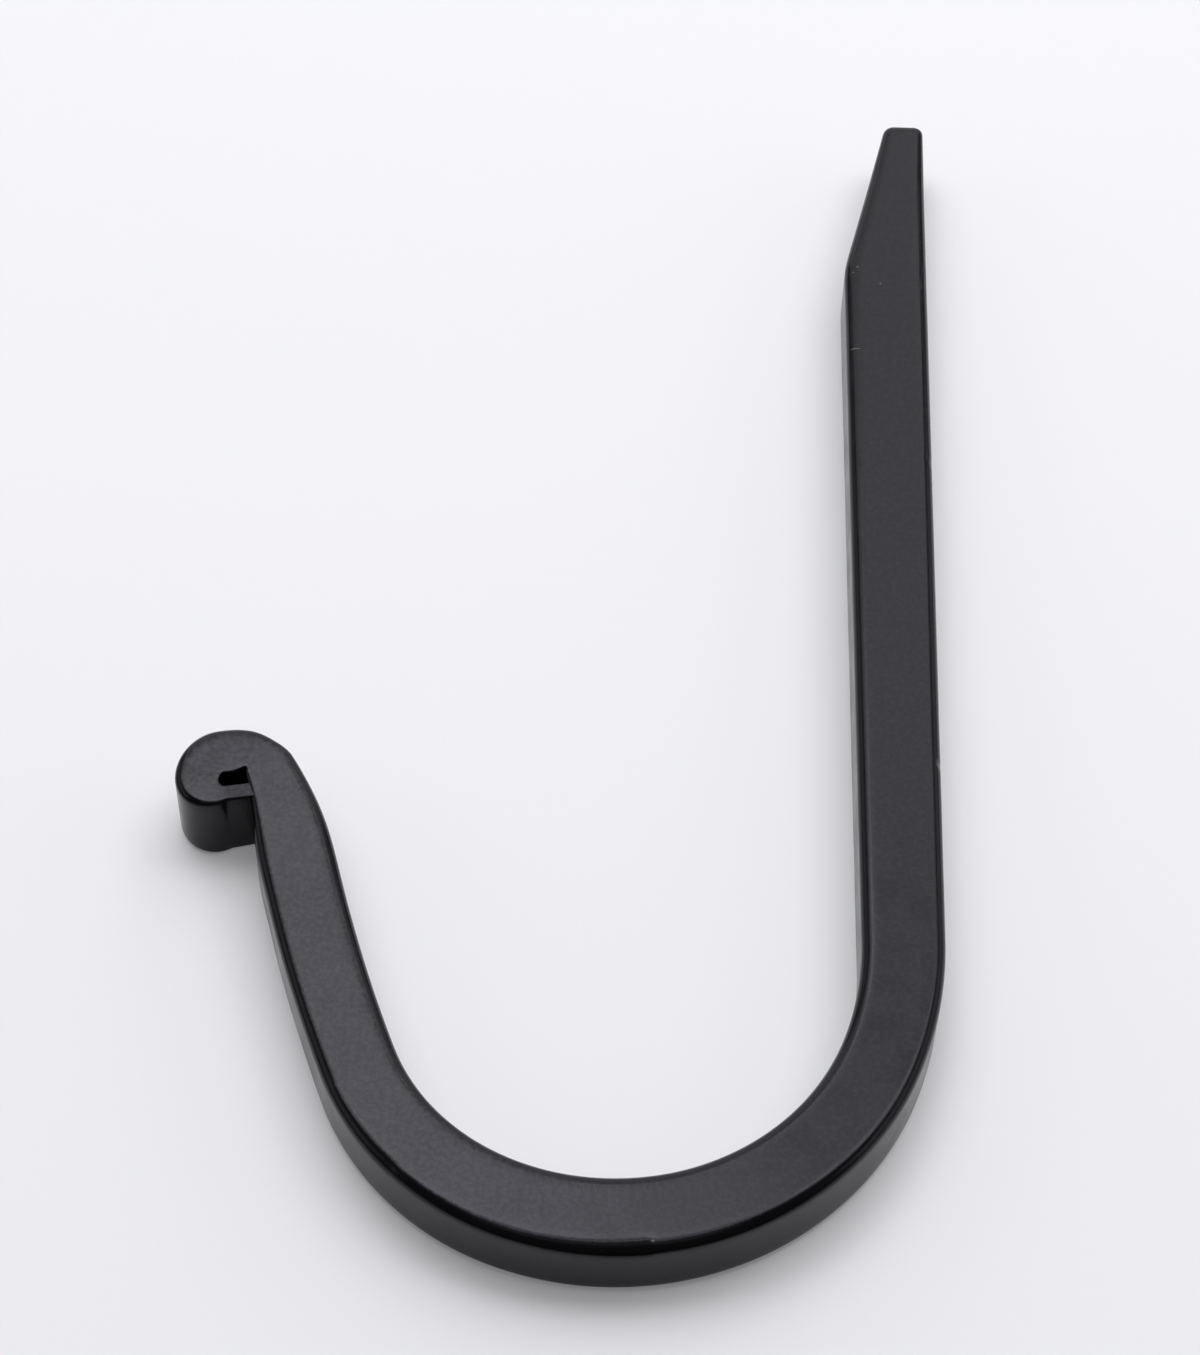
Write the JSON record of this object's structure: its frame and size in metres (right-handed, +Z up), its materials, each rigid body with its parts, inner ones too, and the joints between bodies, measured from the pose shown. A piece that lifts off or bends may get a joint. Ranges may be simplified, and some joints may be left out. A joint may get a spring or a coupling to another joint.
{
  "type": "wrought iron wall hook",
  "caption": "Hand-forged J-shaped wall hook of square iron bar, with a straight shank cut to a chisel point and an outward scroll at its free end.",
  "frame": {"origin": "on the surface that the hook lies on, under the middle of its box", "axes": "+Z up, square to the plane of the hook; +Y along the shank to the chisel point; +X from the mouth to the wall side of the shank"},
  "size_m": [0.074, 0.139, 0.0089],
  "materials": {
    "blackened_iron": "satin black finish over hammered wrought iron"
  },
  "bodies": {
    "root": {"hook": "blackened_iron"}
  },
  "joints": []
}
